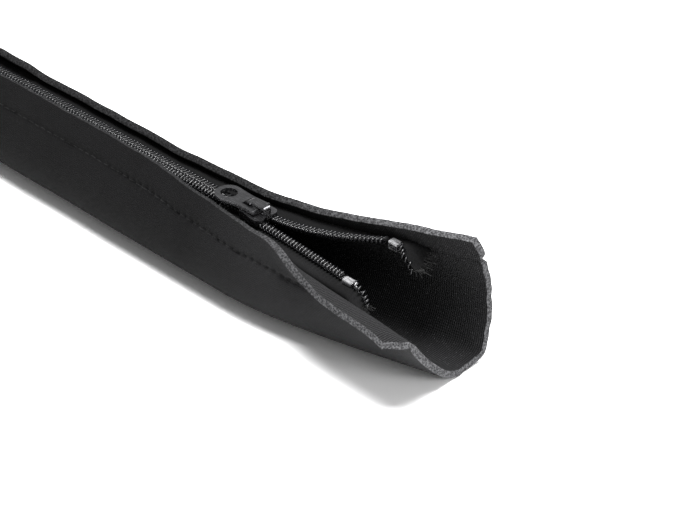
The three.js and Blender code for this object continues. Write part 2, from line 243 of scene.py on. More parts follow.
def paint_lip_light(tree, uv, colour, painted_lip_light):
    """Painted light: patchy paler fleece in a strip along the near lip, where the flat pattern starts."""
    from_lip = remap(tree, axis_of(tree, uv, "Y"), 3.5, 9.0, 1.0, 0.0, "SMOOTHSTEP")
    fuzz = noise(tree, uv, 2.6, 3.0, 0.8)
    patchy = ramp(tree, fuzz, [(0.35, grey(painted_lip_light * 0.3)), (0.7, grey(painted_lip_light * 1.9))])
    return mix_colours(tree, from_lip, colour, patchy)


def cloth_material(
    name, dark, light, rib, rib_depth, roughness, speckle=0.0, painted_end_light=0.0, painted_lip_light=0.0, rib_shade=0.2
):
    """Knit or fleece: ribs along the flat pattern with painted shade and light on them, uneven shade at
    random, pale fluff, painted light along the near lip, and painted light that makes it paler by the
    mouth.
    """
    material, tree, shader = nodes_of(name)
    uv = add_node(tree, "ShaderNodeUVMap", uv_map="flat").outputs["UV"]
    where = add_node(tree, "ShaderNodeTexCoord").outputs["Object"]
    grain = noise(tree, uv, 1.7, 3.0, 0.7)
    ribs = bands(tree, uv, rib, "X", 1.6, 1.0, 1.2)
    loops = bands(tree, uv, rib * 0.8, "Y", 2.0, 2.0, 1.4)
    colour = uneven_shade(tree, uv, grain, dark, light)
    # Painted light: the colour turns paler towards the mouth, where more light falls.
    if painted_end_light:
        painted_light_share = remap(tree, axis_of(tree, where, "X"), *CLOTH_PAINTED_LIGHT, 0.0, 1.0)
        colour = mix_colours(tree, painted_light_share, colour, (*grey(painted_end_light), 1))
    if speckle:
        fluff = ramp(tree, cells(tree, uv, 1.1), [(0.08, grey(speckle)), (0.22, grey(0.0))])
        colour = mix_colours(tree, 1.0, colour, fluff, "ADD")
    # Painted light along the near lip.
    if painted_lip_light:
        colour = paint_lip_light(tree, uv, colour, painted_lip_light)
    # Painted shade and light: the colour is darker in the low parts of the ribs and lighter on their tops.
    shade = ramp(tree, ribs, [(0.0, grey(1 - rib_shade)), (1.0, grey(1 + rib_shade))])
    tree.links.new(mix_colours(tree, 1.0, colour, shade, "MULTIPLY"), shader.inputs["Base Color"])
    height = calculate(tree, "ADD", calculate(tree, "ADD", ribs, loops), grain)
    roughen(tree, shader, height, 0.5, rib_depth)
    shader.inputs["Roughness"].default_value = roughness
    shader.inputs["Specular IOR Level"].default_value = 0.1
    shader.inputs["Sheen Weight"].default_value = 0.01
    shader.inputs["Sheen Roughness"].default_value = 0.4
    return material


def foam_material(name, dark, light):
    """Cut foam: an open, speckled grain with painted shade in its pores, painted shade inside the sleeve
    and painted light that makes it pale by the mouth.
    """
    material, tree, shader = nodes_of(name)
    where = add_node(tree, "ShaderNodeTexCoord").outputs["Object"]
    # Painted shade and light: the foam goes from dark inside the sleeve to pale by the mouth.
    end = remap(tree, axis_of(tree, where, "X"), *FOAM_PAINTED_LIGHT, 0.0, 1.0)
    base = mix_colours(tree, end, (*grey(dark), 1), (*grey(light), 1))
    grain = noise(tree, where, 900.0, 4.0, 0.7)
    pores = calculate(tree, "MULTIPLY", cells(tree, where, 1500.0), grain)
    # Painted shade in the pores: the colour is darker where the bump is low and lighter where it is high.
    shade = ramp(tree, pores, [(0.04, grey(0.2)), (0.22, grey(0.9)), (0.4, grey(2.0))])
    tree.links.new(mix_colours(tree, 1.0, base, shade, "MULTIPLY"), shader.inputs["Base Color"])
    roughen(tree, shader, pores, 0.9, 0.0003)
    shader.inputs["Roughness"].default_value = 0.95
    shader.inputs["Specular IOR Level"].default_value = 0.1
    return material


def gloss_material(name, colour, roughness, metallic, scratch=0.06, grain=0.15):
    """Moulded nylon, thread or plated metal, with a little unevenness in its shine."""
    material, tree, shader = nodes_of(name)
    where = add_node(tree, "ShaderNodeTexCoord").outputs["Object"]
    stretch = add_node(tree, "ShaderNodeMapping", {"Vector": where, "Scale": (400.0, 2600.0, 1200.0)})
    streak = noise(tree, stretch.outputs[0], 1.0, 3.0)
    cloud = noise(tree, where, 260.0, 4.0)
    rough = remap(tree, streak, 0.3, 0.7, roughness - scratch, roughness + scratch)
    tree.links.new(rough, shader.inputs["Roughness"])
    shade = ramp(tree, cloud, [(0.3, [c * 0.8 for c in colour]), (0.7, [c * 1.2 for c in colour])])
    tree.links.new(shade, shader.inputs["Base Color"])
    roughen(tree, shader, streak, grain, 0.00004)
    shader.inputs["Metallic"].default_value = metallic
    return material


# The sheet

THICK = 2.5
TUBE = 14.5  # radius of the closed tube's outer face
FLAT = 8.0  # width of the stretch that rests on the table
TUBE_SIDE = 3.0  # middle of the tube from the chain
MOUTH_SIDE = 18.0  # how much further it lies at the mouth
SEAM = 9.7  # stitch line from the lip's end, along the sheet
STITCH_PUCKER = 3.4  # from one gather of the seam to the next
CURL = (12, 50)  # where the near lip rolls outwards, from the slider
CURL_REACH = (3, 9)  # how far from its end it rolls
CURL_ANGLE = 350  # direction of the rolled strip, in degrees
BULGE = 0.12  # how far the cut foam swells
CUT = (0.12, 0.5, 0.88)  # lines along the cut foam, from one face to the other
CORNER_ROUND = (4.2, 4.4)  # how far along the cut the near corner is rounded, and how deep
TEAR = (9.4, 0.9, 1.5)  # the small tear's place from the far lip, half width and depth
CUT_REACH = 9  # how far into the sleeve the ragged cut has an effect
FIBRES = 1500
LIP_FIBRES = 0.72  # share of the fibres that stand on the lips
MOUTH_WIDTH = 102.1
# Share of the way across the sheet, and the sheet's direction there at the mouth, in degrees.
MOUTH = [
    (0, 352), (0.04, 350), (0.115, 302), (0.22, 310), (0.33, 316), (0.43, 357),
    (0.5, 370), (0.56, 440), (0.68, 445), (0.85, 468), (1, 472),
]
# Ends of the lips along the sleeve: from the slider, from the chain, and above the table. The near lip
# hangs over the closed chain, and the slider pushes both lips out.
NEAR_LIP = [(-70, -3.7, 36.2), (-52, -3.8, 36.0), (-28, -5.2, 34.6), (0, -7.6, 33.85), (30, -7.6, 33.85)]
FAR_LIP = [(-70, 6.4, 35.9), (-45, 6.5, 35.9), (0, 8.6, 36.2), (30, 8.6, 36.2)]


def soft_interp(value, table, column):
    """A column of a table at a value of its first column, rounded at the table's rows."""
    marks = [row[0] for row in table]
    amounts = [row[column] for row in table]
    return np.mean([np.interp(value + step, marks, amounts) for step in (-8, -4, 0, 4, 8)])


def lip_run(end, centre):
    """Length and steepness of the straight run from a lip's end to the round of the tube."""
    outward = (end[0] - centre) * (-1 if end[0] < 0 else 1)
    up = end[1] - TUBE
    radius = TUBE - THICK / 2
    reach = math.hypot(outward, up)
    steep = math.acos(radius / reach) + math.atan2(outward, up)
    return math.sqrt(reach**2 - radius**2), math.degrees(steep)


def opening(x, at):
    start = at["slider"] - 12
    t = np.clip((x - start) / (at["mouth"] - start), 0, 1)
    return t * t * (1.6 - 0.6 * t)


def section(x, at, steps):
    """The sheet's middle line at x as points of (y from the chain, z), its inward side, and its length."""
    gone = x - at["slider"]
    near = [float(soft_interp(gone, NEAR_LIP, k)) for k in (1, 2)]
    far = [float(soft_interp(gone, FAR_LIP, k)) for k in (1, 2)]
    radius = TUBE - THICK / 2
    near_length, near_steep = lip_run(near, TUBE_SIDE - FLAT / 2)
    far_length, far_steep = lip_run(far, TUBE_SIDE + FLAT / 2)
    near_arc = radius * math.radians(180 - near_steep)
    far_arc = radius * math.radians(180 - far_steep)
    marks = np.cumsum([0, near_length, near_arc, FLAT, far_arc, far_length])
    width = marks[-1]
    angles = [180 + near_steep, 180 + near_steep, 360, 360, 540 - far_steep, 540 - far_steep]
    opened = float(opening(x, at))
    length = mix(width, MOUTH_WIDTH, opened)
    share = np.linspace(0, 1, steps + 1)
    mouth_share, mouth_angle = zip(*MOUTH)

    curl = float(ease(*CURL, gone))

    def heading(s):
        turned = mix(np.interp(s, marks / width, angles), np.interp(s, mouth_share, mouth_angle), opened)
        return np.radians(mix(turned, CURL_ANGLE, curl * (1 - ease(*CURL_REACH, s * length))))

    between = heading((share[:-1] + share[1:]) / 2)
    step = length / steps
    middle = np.zeros((steps + 1, 2))
    middle[1:] = np.cumsum(np.stack([np.cos(between), np.sin(between)], 1) * step, axis=0)
    here = heading(share)
    inward = np.stack([-np.sin(here), np.cos(here)], 1)
    anchor = (marks[2] + marks[3]) / 2 / width
    anchor_y = np.interp(anchor, share, middle[:, 0])
    lowest = (middle - inward * THICK / 2)[:, 1].min()
    middle += np.array([TUBE_SIDE + MOUTH_SIDE * opened - anchor_y, -lowest])
    return middle, inward, length


def sheet_rows(at, steps, stations, wave, pucker):
    """Outer and inner face of the sheet at every station: arrays of station, place across and (x, y, z)."""
    outer, inner, across = [], [], []
    x = np.asarray(stations)
    lip_wave = waves(x, [41, 27, 13], SEED)
    far_wave = waves(x, [36, 22, 15], SEED + 1)
    rise = waves(x, [33, 17, 9], SEED + 2)
    step_up = 5.0 * (1 - ease(-126, -122, x - at["slider"])) * ease(-230, -150, x - at["slider"])
    for i, here in enumerate(x):
        middle, inward, length = section(here, at, steps)
        s = np.linspace(0, length, steps + 1)
        back = length - s
        body = waves(here + 0.35 * s, [63, 37], SEED + 3) * wave * 0.6
        edge = (np.exp(-s / 7) * lip_wave[i] + np.exp(-back / 7) * far_wave[i]) * wave
        sagging = np.clip(middle[:, 1] / 8, 0, 1)
        middle = middle + inward * ((body + edge) * sagging)[:, None]
        along = np.gradient(middle, axis=0)
        along /= np.linalg.norm(along, axis=1, keepdims=True)
        middle = middle - along * (np.exp(-s / 2) * rise[i] * 0.14)[:, None]
        middle = middle + along * (np.exp(-back / 2) * (rise[-1 - i] * 0.14 + step_up[i] * 0.4))[:, None]
        drift = waves(np.array([here]), [29, 11, 7.3], SEED + 4)[0]
        groove = 0
        for place in (s, back):
            groove = groove + np.exp(-(((place - SEAM - 0.35 * drift) / 0.75) ** 2))
            groove = groove + 0.35 * np.exp(-(((place - SEAM) / 2.6) ** 2))
        depth = groove * pucker * (1 + 0.45 * math.sin(2 * math.pi * here / STITCH_PUCKER) + 0.25 * drift)
        half = THICK / 2
        out = middle - inward * (half - depth * 0.9)[:, None]
        into = middle + inward * (half - depth * 0.4)[:, None]
        for face in (out, into):
            face[:, 1] = np.maximum(face[:, 1], 0.0)
        outer.append(np.column_stack([np.full(steps + 1, here), out[:, 0] + at["chain"], out[:, 1]]))
        inner.append(np.column_stack([np.full(steps + 1, here), into[:, 0] + at["chain"], into[:, 1]]))
        across.append(s)
    return np.array(outer), np.array(inner), np.array(across)


def ragged_end(faces, across, at):
    """Moves the last millimetres of both faces so that the cut at the mouth wavers and has a small tear."""
    width = across[-1][-1]
    s = across[-1]
    push = waves(s, [31, 13, 6], SEED + 5) * 0.35
    place, half_width, depth = TEAR
    push = push - depth * np.exp(-(((width - place - s) / half_width) ** 2))
    push = push - CORNER_ROUND[1] * np.exp(-((s / CORNER_ROUND[0]) ** 2))
    push = push - 1.2 * np.exp(-(((width - s) / 2) ** 2))
    for face in faces:
        weight = ease(at["mouth"] - CUT_REACH, at["mouth"], face[:, :, 0])
        face[:, :, 0] += push[None] * weight


def sheet_stations(at):
    """Close together where the sleeve opens, further apart where it is straight."""
    bend = at["slider"] - 60
    return np.concatenate([np.arange(at["closed"], bend, 1.7), np.linspace(bend, at["mouth"], 190)])


def build_sheet(at, settings):
    """The folded sheet: outer knit, lining, and the cut foam along its lips and ends."""
    steps = settings.across_steps
    stations = sheet_stations(at)
    outer, inner, across = sheet_rows(at, steps, stations, settings.lip_wave / MM, settings.seam_depth / MM)
    ragged_end((outer, inner), across, at)
    rows, n = len(stations), steps + 1

    def bulge(a, b, t, way):
        return mix(a, b, t) + way * BULGE

    out_way = np.gradient(outer, axis=1)
    out_way /= np.linalg.norm(out_way, axis=2, keepdims=True)
    far_cut = [bulge(outer[:, -1], inner[:, -1], t, out_way[:, -1]) for t in CUT]
    near_cut = [bulge(inner[:, 0], outer[:, 0], t, -out_way[:, 0]) for t in CUT]
    ring = np.concatenate(
        [outer, np.stack(far_cut, 1), inner[:, ::-1], np.stack(near_cut, 1)], axis=1
    )
    size = ring.shape[1]
    verts = ring.reshape(-1, 3)
    faces = grid_faces(rows, size, closed=True)
    column = np.tile(np.arange(size), rows - 1)
    slots = np.where(column < n - 1, 0, np.where((column >= n + 3) & (column < 2 * n + 2), 1, 2))
    width = across.max()
    v = np.concatenate(
        [across, np.repeat(across[:, -1:], 3, 1), across[:, ::-1], np.zeros((rows, 3))], axis=1
    )
    u = ring[:, :, 0]
    uv = np.stack([u, v], -1).reshape(-1, 2)
    extra, more, more_slots, more_uv = [], [], [], []
    total = len(verts)
    for row, flip in ((0, False), (rows - 1, True)):
        base = row * size
        outer_ids = base + np.arange(n)
        inner_ids = base + n + 3 + np.arange(n)[::-1]
        far_ids = base + n + np.arange(3)
        near_ids = base + 2 * n + 3 + np.arange(3)[::-1]
        way = -BULGE if row == 0 else BULGE
        columns = [outer_ids]
        for k, t in enumerate(CUT):
            ids = np.empty(n, int)
            ids[0], ids[-1] = near_ids[k], far_ids[k]
            points = mix(verts[outer_ids], verts[inner_ids], t)[1:-1] + np.array([way, 0, 0])
            ids[1:-1] = total + np.arange(n - 2)
            total += n - 2
            extra.append(points)
            more_uv.append(np.stack([points[:, 0], across[row][1:-1]], -1))
            columns.append(ids)
        columns.append(inner_ids)
        for a, b in zip(columns[:-1], columns[1:]):
            quads = np.stack([a[:-1], a[1:], b[1:], b[:-1]], -1)
            more.append(quads[:, ::-1] if flip else quads)
            more_slots.append(np.full(n - 1, 2))
    verts = np.concatenate([verts, *extra])
    uv = np.concatenate([uv, *more_uv])
    faces = np.concatenate([faces, *more])
    slots = np.concatenate([slots, *more_slots])
    sleeve = make_mesh("sleeve_sheet", verts, faces[:, ::-1], slots, uv, sharp=60)
    # Painted light makes the knit and the lining paler towards the mouth, and the lining paler along the
    # near lip.
    sleeve.data.materials.append(cloth_material("knit", 0.003, 0.005, 0.62, 0.00022, 0.92, painted_end_light=0.024))
    lining = cloth_material(
        "lining", 0.003, 0.007, 0.42, 0.0004, 0.97,
        speckle=0.04, painted_end_light=0.014, painted_lip_light=0.014, rib_shade=0.6,
    )
    sleeve.data.materials.append(lining)
    # The foam's two colours are painted shade inside the sleeve and painted light by the mouth.
    sleeve.data.materials.append(foam_material("foam", 0.011, 0.06))
    return sleeve, (outer, inner, across, stations)


def surface_point(rows, x, distance, from_far, lift):
    """A point of the outer face at x and at a distance from a lip, lifted off it."""
    outer, inner, across, stations = rows
    i = np.clip(np.searchsorted(stations, x) - 1, 0, len(stations) - 2)
    t = (x - stations[i]) / (stations[i + 1] - stations[i])
    found = []
    for k in (i, i + 1):
        s = across[k][-1] - distance if from_far else distance
        found.append([
            np.array([np.interp(s, across[k], face[k][:, c]) for c in range(3)]) for face in (outer, inner)
        ])
    out = mix(found[0][0], found[1][0], t)
    into = mix(found[0][1], found[1][1], t)
    way = (out - into) / np.linalg.norm(out - into)
    return out + way * lift


def build_stitches(at, rows, settings):
    """Lock stitches along both lips, each a short thread that dives into the sheet at its ends."""
    pitch = settings.stitch / MM
    paths = []
    rng = np.random.default_rng(SEED + 7)
    for from_far in (False, True):
        for start in np.arange(at["closed"] + 3, at["mouth"] - 3, pitch):
            wander = rng.uniform(-0.12, 0.12)
            path = []
            for t in np.linspace(0, 1, 5):
                lift = 0.16 * math.sin(math.pi * t) - 0.22
                path.append(surface_point(rows, start + pitch * 0.9 * t, SEAM + wander, from_far, lift))
            paths.append(path)
    verts, faces = tubes(paths, 0.19, sides=5)
    return make_mesh("seam_stitches", verts, faces)


def build_fluff(at, rows):
    """Short loose fibres on the cut foam of the lips and the mouth."""
    outer, inner, across, stations = rows
    rng = np.random.default_rng(SEED + 8)
    paths = []
    first = np.searchsorted(stations, at["slider"] - 150)
    for _ in range(FIBRES):
        i = rng.integers(first, len(stations) - 1)
        end = rng.choice([0, -1]) if rng.random() < LIP_FIBRES else rng.integers(0, outer.shape[1])
        if end not in (0, -1):
            i = len(stations) - 1
        root = mix(outer[i, end], inner[i, end], rng.uniform(0.05, 0.95))
        away = outer[i, end] - outer[i, 1 if end == 0 else -2] if end in (0, -1) else np.array([1.0, 0, 0])
        away = away / (np.linalg.norm(away) + 1e-9)
        bend = rng.normal(0, 0.5, 3)
        long = rng.uniform(0.25, 0.7)
        middle = root + (away + bend * 0.5) * long * 0.5
        paths.append([root + away * (-0.1), middle, root + (away + bend) * long * 0.8])
    verts, faces = tubes(paths, 0.028, sides=3)
    return make_mesh("edge_fluff", verts, faces)


# The zip

# Sizes of the coils, and for the near (-1) and far (1) side: the top stop from the slider, how far the
# open coil spreads sideways and how far it rises by then.
PITCH = 1.5
COIL_WIDTH = 3.4
COIL_HEIGHT = 2.2
CHAIN_SPACING = 1.325
PARTING = 1.325
STOP_X = {-1: 46.0, 1: 48.5}
SPREAD = {-1: 2.4, 1: 10.5}
RISE = {-1: 0.0, 1: 7.0}
TAPE = 0.5
WIRE = 0.4  # half the thickness of the coil's thread
FIRST_TURN = 15.5  # from the closed end
SEWING_GAP = 0.22  # of each sewing thread from the coil's middle
TAPE_LINES = 22  # lines along a tape's width
TAPE_HEM = 12.5  # where a tape ends, from the lip's end
TAPE_TAIL = 10.5  # length of the tape beyond its stop
TAPE_CURL = {-1: (-1.2, -3.5), 1: (0.8, -6.5)}  # how far the tail turns aside and droops
TAIL_TURNS = 6.5
TAIL_RUN = {-1: (9.0, -1.5, -5.0), 1: (5.0, 0.5, -8.5)}  # from the first loose turn to the last
FRAY_THREADS = 70


def coil_middle(side, x, at):
    """Middle of one coil at x, as (y from the chain, z)."""
    x = np.asarray(x, float)
    share = np.clip((x - at["slider"]) / STOP_X[side], 0, 1)
    parted = PARTING * ease(at["slider"] - 5.3, at["slider"] + 1.3, x)
    out = CHAIN_SPACING + parted + SPREAD[side] * share * share * (1.7 - 0.7 * share)
    return side * out, at["zip"] + RISE[side] * share * share


def build_coil(side, name, at):
    """One coil: a nylon thread wound flat, its heads widened, with a dip on top for the sewing thread."""
    start = at["closed"] + FIRST_TURN + (0.0 if side < 0 else PITCH / 2)
    end = at["slider"] + STOP_X[side] - 0.6
    turns = int((end - start) / PITCH)
    per_turn = 18
    t = np.arange(turns * per_turn + 1) / per_turn
    angle = 2 * math.pi * t
    x = start + t * PITCH
    y0, z0 = coil_middle(side, x, at)
    head = np.cos(angle)
    height = np.sin(angle)
    wide = COIL_WIDTH / 2 - WIRE
    tall = COIL_HEIGHT / 2 - WIRE
    y = y0 - side * wide * np.sign(head) * np.abs(head) ** 0.85
    z = z0 + tall * np.sign(height) * np.abs(height) ** 0.38
    z = z - 0.14 * np.exp(-((head / 0.2) ** 2)) * (height > 0)
    rng = np.random.default_rng(SEED + 9 + side)
    z = z + np.interp(t, np.arange(turns + 2), rng.normal(0, 0.015, turns + 2))
    radius = 0.37 + 0.08 * np.clip(head, 0, 1) ** 3
    path = np.stack([x, y + at["chain"], z], -1)[None]
    verts, faces = tubes(path, radius[None], sides=7)
    return make_mesh(name, verts, faces, sharp=80)


def build_sewing(side, name, at):
    """The thread that sews a coil to its tape, over every turn along the middle of the coil."""
    x = np.arange(at["closed"] + (FIRST_TURN + 0.5), at["slider"] + STOP_X[side] - 1, PITCH / 6)
    y, z = coil_middle(side, x, at)
    lift = COIL_HEIGHT / 2 - 0.42 + 0.17 * np.cos(2 * math.pi * (x - at["closed"]) / PITCH)
    paths = [
        np.stack([x, y + at["chain"] + off, z + lift], -1) for off in (-SEWING_GAP, SEWING_GAP)
    ]
    verts, faces = tubes(paths, 0.2, sides=5)
    return make_mesh(name, verts, faces)


def tape_rows(side, at, rows, stations):
    """Lines across a tape: flat under its coil, then down the inside of the lip."""
    outer, inner, across, sheet_x = rows
    lines = []
    for x in stations:
        y, z = coil_middle(side, x, at)
        edge_y = y - side * 0.2
        edge_z = z - COIL_HEIGHT / 2 - 0.15 - TAPE / 2
        i = int(np.clip(np.searchsorted(sheet_x, x), 1, len(sheet_x) - 1))
        face = inner[i] if side < 0 else inner[i][::-1]
        out_face = outer[i] if side < 0 else outer[i][::-1]
        s = across[i] if side < 0 else across[i][-1] - across[i][::-1]
        away = face - out_face
        away /= np.linalg.norm(away, axis=1, keepdims=True)
        wall = face + away * (TAPE / 2 + 0.12)
        opened = float(ease(at["slider"] + 5, at["slider"] + STOP_X[side], x))
        first = mix(3.2, 6.2, opened)
        hung = [np.array([np.interp(d, s, wall[:, 1]) - at["chain"], np.interp(d, s, wall[:, 2])])
                for d in (first, mix(first, TAPE_HEM, 0.5), TAPE_HEM)]
        flat_y = edge_y + side * mix(2.6, 2.3, opened)
        line = [np.array([edge_y, edge_z]), np.array([flat_y, edge_z]), *hung]
        lines.append(line)
    return np.array(lines)


def smooth_line(points, count):
    """Resamples a row of corners as a rounded line with evenly spread points."""
    points = np.asarray(points)
    ts = np.linspace(0, 1, count)
    seg = np.concatenate([[0], np.cumsum(np.linalg.norm(np.diff(points, axis=0), axis=1))])
    seg /= seg[-1]
    line = np.stack([np.interp(ts, seg, points[:, c]) for c in range(points.shape[1])], -1)
    for _ in range(6):
        line[1:-1] = (line[:-2] + 2 * line[1:-1] + line[2:]) / 4
    return line


def build_tape(side, name, at, rows):
    """A woven tape with a thickness, its tail past the top stop curled and frayed."""
    stop = at["slider"] + STOP_X[side]
    end = stop + TAPE_TAIL
    bend = at["slider"] - 20
    stations = np.concatenate([np.arange(at["closed"] + 2, bend, 3), np.linspace(bend, end, 80)])
    lines = tape_rows(side, at, rows, stations)
    count = TAPE_LINES
    mids = np.array([smooth_line(line, count) for line in lines])
    tail = ease(stop + 3.5, end, stations)[:, None]
    loose = 1 - ease(0.25, 0.75, np.linspace(0, 1, count))[None]
    curl = TAPE_CURL[side]
    mids[:, :, 0] += curl[0] * tail * loose
    mids[:, :, 1] += curl[1] * tail**1.5 * loose
    ruck = waves(stations, [7.5, 4.1], SEED + 12 + side)[:, None] * tail * loose
    mids[:, :, 1] += 0.7 * ruck
    along = np.gradient(mids, axis=1)
    along /= np.linalg.norm(along, axis=2, keepdims=True)
    normal = np.stack([-along[..., 1], along[..., 0]], -1) * TAPE / 2
    x = np.repeat(stations[:, None], count, 1)
    fray = waves(np.arange(count) * 0.5, [3.1, 1.7, 0.9], SEED + 14 + side)[None] * 1.3
    x = x + fray * (tail**4)

    def face(points):
        return np.stack([x, points[..., 0] + at["chain"], np.maximum(points[..., 1], 0.3)], -1)

    ring = np.concatenate([face(mids + normal), face(mids - normal)[:, ::-1]], axis=1)
    verts = ring.reshape(-1, 3)
    size = count * 2
    faces = grid_faces(len(stations), size, closed=True)
    caps = []
    for row in (0, len(stations) - 1):
        ids = row * size + np.arange(size)
        quads = np.stack([ids[: count - 1], ids[1:count], ids[::-1][1:count], ids[::-1][: count - 1]], -1)
        caps.append(quads if row == 0 else quads[:, ::-1])
    faces = np.concatenate([faces, *caps])
    step = np.concatenate([np.arange(count), np.arange(count)[::-1]]) * 0.75
    u = np.repeat(stations[:, None], size, 1)
    uv = np.stack([u, np.repeat(step[None], len(stations), 0)], -1).reshape(-1, 2)
    return make_mesh(name, verts, faces, None, uv, sharp=60), mids, stations


def build_fray(side, name, at, mids, stations):
    """Loose warp threads beyond the cut end of a tape."""
    rng = np.random.default_rng(SEED + 16 + side)
    paths = []
    last = mids[-1]
    for _ in range(FRAY_THREADS):
        k = rng.integers(0, len(last) - 6)
        root = np.array([stations[-1] - 1.2, last[k][0] + at["chain"], last[k][1]])
        long = rng.uniform(0.8, 3.2)
        side_way = rng.normal(0, 0.35, 3)
        points = [root]
        for t in (0.35, 0.7, 1.0):
            points.append(root + np.array([1.0 + long * t, 0, 0]) + side_way * t * t * long)
        paths.append(points)
    verts, faces = tubes(paths, 0.07, sides=4)
    return make_mesh(name, verts, faces)


def build_tail(side, name, at):
    """The last turns of a coil beyond its top stop, sprung loose and drooping into the sleeve."""
    rng = np.random.default_rng(SEED + 18 + side)
    start = at["slider"] + STOP_X[side] + 3.6
    y0, z0 = coil_middle(side, start, at)
    t = np.linspace(0, TAIL_TURNS, int(TAIL_TURNS * 16))
    share = t / TAIL_TURNS
    run = TAIL_RUN[side]
    jitter = [np.interp(t, np.arange(9), rng.normal(0, 0.4, 9)) for _ in range(3)]
    angle = 2 * math.pi * t
    wide = 1.25 * (1 - 0.35 * share)
    x = start + run[0] * share + jitter[0] + 0.35 * np.sin(angle)
    y = y0 + run[1] * share + wide * np.cos(angle) + jitter[1] * share
    z = z0 + run[2] * share**1.6 + 0.75 * np.sin(angle) + jitter[2] * share
    path = np.stack([x, y + at["chain"], z], -1)[None]
    verts, faces = tubes(path, 0.3, sides=7)
    return make_mesh(name, verts, faces, sharp=80)


# Settings and operators


class SheetSettings(bpy.types.PropertyGroup):
    across_steps: bpy.props.IntProperty(
        name="Steps across", description="Facets across the sheet, lip to lip", default=150, min=60, max=260
    )
    lip_wave: bpy.props.FloatProperty(
        name="Lip wave", description="How far the lips waver",
        default=0.00017, unit="LENGTH", subtype="DISTANCE",
    )
    seam_depth: bpy.props.FloatProperty(
        name="Seam depth", description="How deep the stitching pulls in",
        default=0.0007, unit="LENGTH", subtype="DISTANCE",
    )
    stitch: bpy.props.FloatProperty(
        name="Stitch length", description="From one stitch to the next",
        default=0.0034, unit="LENGTH", subtype="DISTANCE",
    )


class MetalSettings(bpy.types.PropertyGroup):
    edge_round: bpy.props.FloatProperty(
        name="Edge round", description="Rounding of the stamped edges",
        default=0.00014, unit="LENGTH", subtype="DISTANCE",
    )


class StageSettings(bpy.types.PropertyGroup):
    azimuth: bpy.props.FloatProperty(
        name="Azimuth", description="Camera's way round the sleeve",
        default=math.radians(44.5), unit="ROTATION", subtype="ANGLE",
    )
    elevation: bpy.props.FloatProperty(
        name="Elevation", description="Camera's height angle",
        default=math.radians(34.5), unit="ROTATION", subtype="ANGLE",
    )
    distance: bpy.props.FloatProperty(
        name="Distance", description="Camera to slider", default=0.8, unit="LENGTH", subtype="DISTANCE"
    )
    lens: bpy.props.FloatProperty(
        name="Lens", description="Focal length in millimetres", default=123.43, min=10, subtype="NONE"
    )


def get(name):
    return getattr(bpy.context.scene, name)


def rows_of_sheet(at):
    """The sheet's faces again, for the pieces that lie on it."""
    settings = get("sleeve_sheet_settings")
    stations = sheet_stations(at)
    outer, inner, across = sheet_rows(
        at, settings.across_steps, stations, settings.lip_wave / MM, settings.seam_depth / MM
    )
    return outer, inner, across, stations


def dress(obj, material):
    obj.data.materials.clear()
    obj.data.materials.append(material)


class SLEEVE_OT_sheet(bpy.types.Operator):
    """Build the folded sheet with its seams and fluff"""

    bl_idname = "sleeve.sheet"
    bl_label = "Build sheet"

    def execute(self, context):
        at = places()
        settings = get("sleeve_sheet_settings")
        sleeve, rows = build_sheet(at, settings)
        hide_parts("sleeve")
        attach(sleeve, "sleeve")
        stitches = build_stitches(at, rows, settings)
        dress(stitches, gloss_material("thread", (0.0015, 0.0015, 0.0016), 0.95, 0.0))
        fluff = build_fluff(at, rows)
        dress(fluff, gloss_material("fibre", (0.05, 0.05, 0.052), 0.8, 0.0))
        for piece in (stitches, fluff):
            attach(piece, "sleeve")
        return {"FINISHED"}


class SLEEVE_OT_tapes(bpy.types.Operator):
    """Build both tapes with their frayed tails"""

    bl_idname = "sleeve.tapes"
    bl_label = "Build tapes"

    def execute(self, context):
        at = places()
        rows = rows_of_sheet(at)
        woven = cloth_material("tape", 0.004, 0.008, 1.1, 0.00018, 0.85)
        for side, word in ((-1, "near"), (1, "far")):
            tape, mids, stations = build_tape(side, f"tape_{word}", at, rows)
            dress(tape, woven)
            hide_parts(f"zip_tape_{word}")
            fray = build_fray(side, f"fray_{word}", at, mids, stations)
            dress(fray, gloss_material("warp", (0.012, 0.012, 0.012), 0.6, 0.0))
            for piece in (tape, fray):
                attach(piece, "sleeve")
        return {"FINISHED"}


class SLEEVE_OT_coils(bpy.types.Operator):
    """Build both coils and the threads that sew them down"""

    bl_idname = "sleeve.coils"
    bl_label = "Build coils"

    def execute(self, context):
        at = places()
        nylon = gloss_material("nylon", (0.005, 0.005, 0.006), 0.28, 0.0, scratch=0.03, grain=0.0)
        thread = gloss_material("sewing", (0.0015, 0.0015, 0.0016), 0.95, 0.0)
        for side, word in ((-1, "near"), (1, "far")):
            coil = build_coil(side, f"coil_{word}", at)
            dress(coil, nylon)
            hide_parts(f"zip_coil_{word}")
            sewing = build_sewing(side, f"sewing_{word}", at)
            dress(sewing, thread)
            tail = build_tail(side, f"coil_tail_{word}", at)
            dress(tail, nylon)
            for piece in (coil, sewing, tail):
                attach(piece, "sleeve")
        return {"FINISHED"}


class SLEEVE_OT_metal(bpy.types.Operator):
    """Finish the slider, pull tab and stops: rounded edges and plating"""

    bl_idname = "sleeve.metal"
    bl_label = "Finish metal"

    def execute(self, context):
        dark = gloss_material("gunmetal", (0.2, 0.2, 0.208), 0.27, 1.0, scratch=0.06, grain=0.08)
        bright = gloss_material("nickel", (0.85, 0.85, 0.87), 0.3, 1.0, scratch=0.1)
        width = get("sleeve_metal_settings").edge_round
        for node in ("slider_body", "pull_tab", "top_stop_near", "top_stop_far", "bottom_stop"):
            piece = frame["nodes"][node]
            dress(piece, dark if node in ("slider_body", "pull_tab") else bright)
            bevel = piece.modifiers.new("edges", "BEVEL")
            bevel.width = width
            bevel.segments = 2
            bevel.limit_method = "ANGLE"
            bevel.angle_limit = math.radians(35)
            bevel.harden_normals = True
        return {"FINISHED"}


